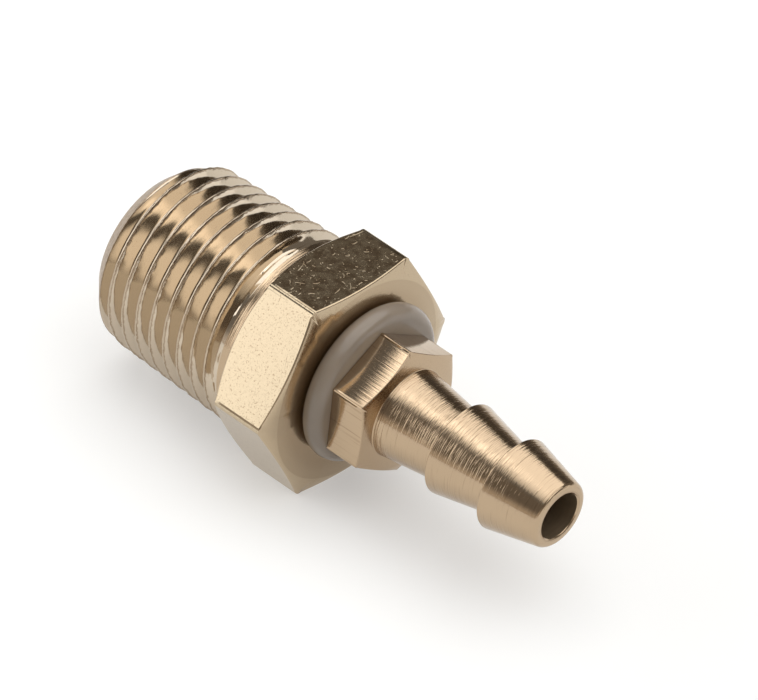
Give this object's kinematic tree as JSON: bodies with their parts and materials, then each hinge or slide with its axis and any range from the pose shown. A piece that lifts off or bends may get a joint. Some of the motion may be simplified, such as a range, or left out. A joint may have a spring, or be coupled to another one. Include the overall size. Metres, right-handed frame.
{
  "type": "hose barb tail",
  "caption": "Barbed hose tail screwed into a hexagon bush with a male taper pipe thread, sealed by a washer with a rounded rim.",
  "frame": {"origin": "centre of the bush's threaded end face, on the fitting's axis", "axes": "+X along the axis towards the tail's tip, +Z square to one flat of the large hexagon, which faces up"},
  "size_m": [0.0266, 0.0128, 0.0112],
  "materials": {
    "bush_brass": "bright turned and drawn brass, pale gold",
    "washer_plastic": "milky grey-white, slightly glossy",
    "tail_brass": "bright turned brass with fine turning lines"
  },
  "bodies": {
    "root": {"threaded_bush": "bush_brass", "sealing_washer": "washer_plastic", "hose_tail": "tail_brass"}
  },
  "joints": []
}
